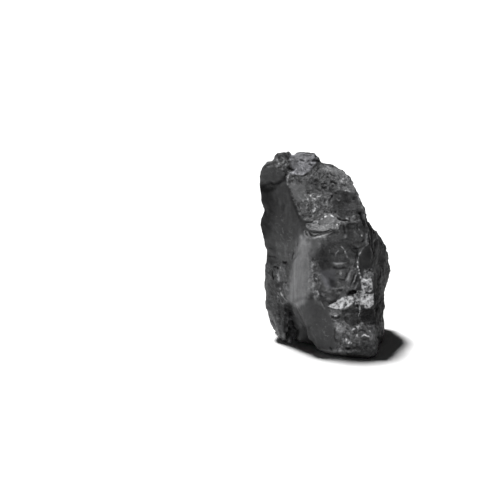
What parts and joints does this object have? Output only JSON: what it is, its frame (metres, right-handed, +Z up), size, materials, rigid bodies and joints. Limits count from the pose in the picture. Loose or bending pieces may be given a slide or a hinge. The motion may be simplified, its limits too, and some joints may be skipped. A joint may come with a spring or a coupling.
{
  "type": "aquarium rock",
  "caption": "Upright block of black fractured stone with a lopsided top, a broken front face and a flat underside, to stand in an aquarium as hardscape.",
  "frame": {"origin": "centre of the bounding box in plan, at the level of the flat underside", "axes": "+Z up along the height of the stone, -Y out of the broken front face, +X to the right seen from the front"},
  "size_m": [0.1336, 0.1196, 0.1957],
  "materials": {
    "black_stone": "broken black stone, dull with a slight sheen on smooth cleavage faces and pale crystalline flecks"
  },
  "bodies": {
    "root": {"rock": "black_stone"}
  },
  "joints": []
}
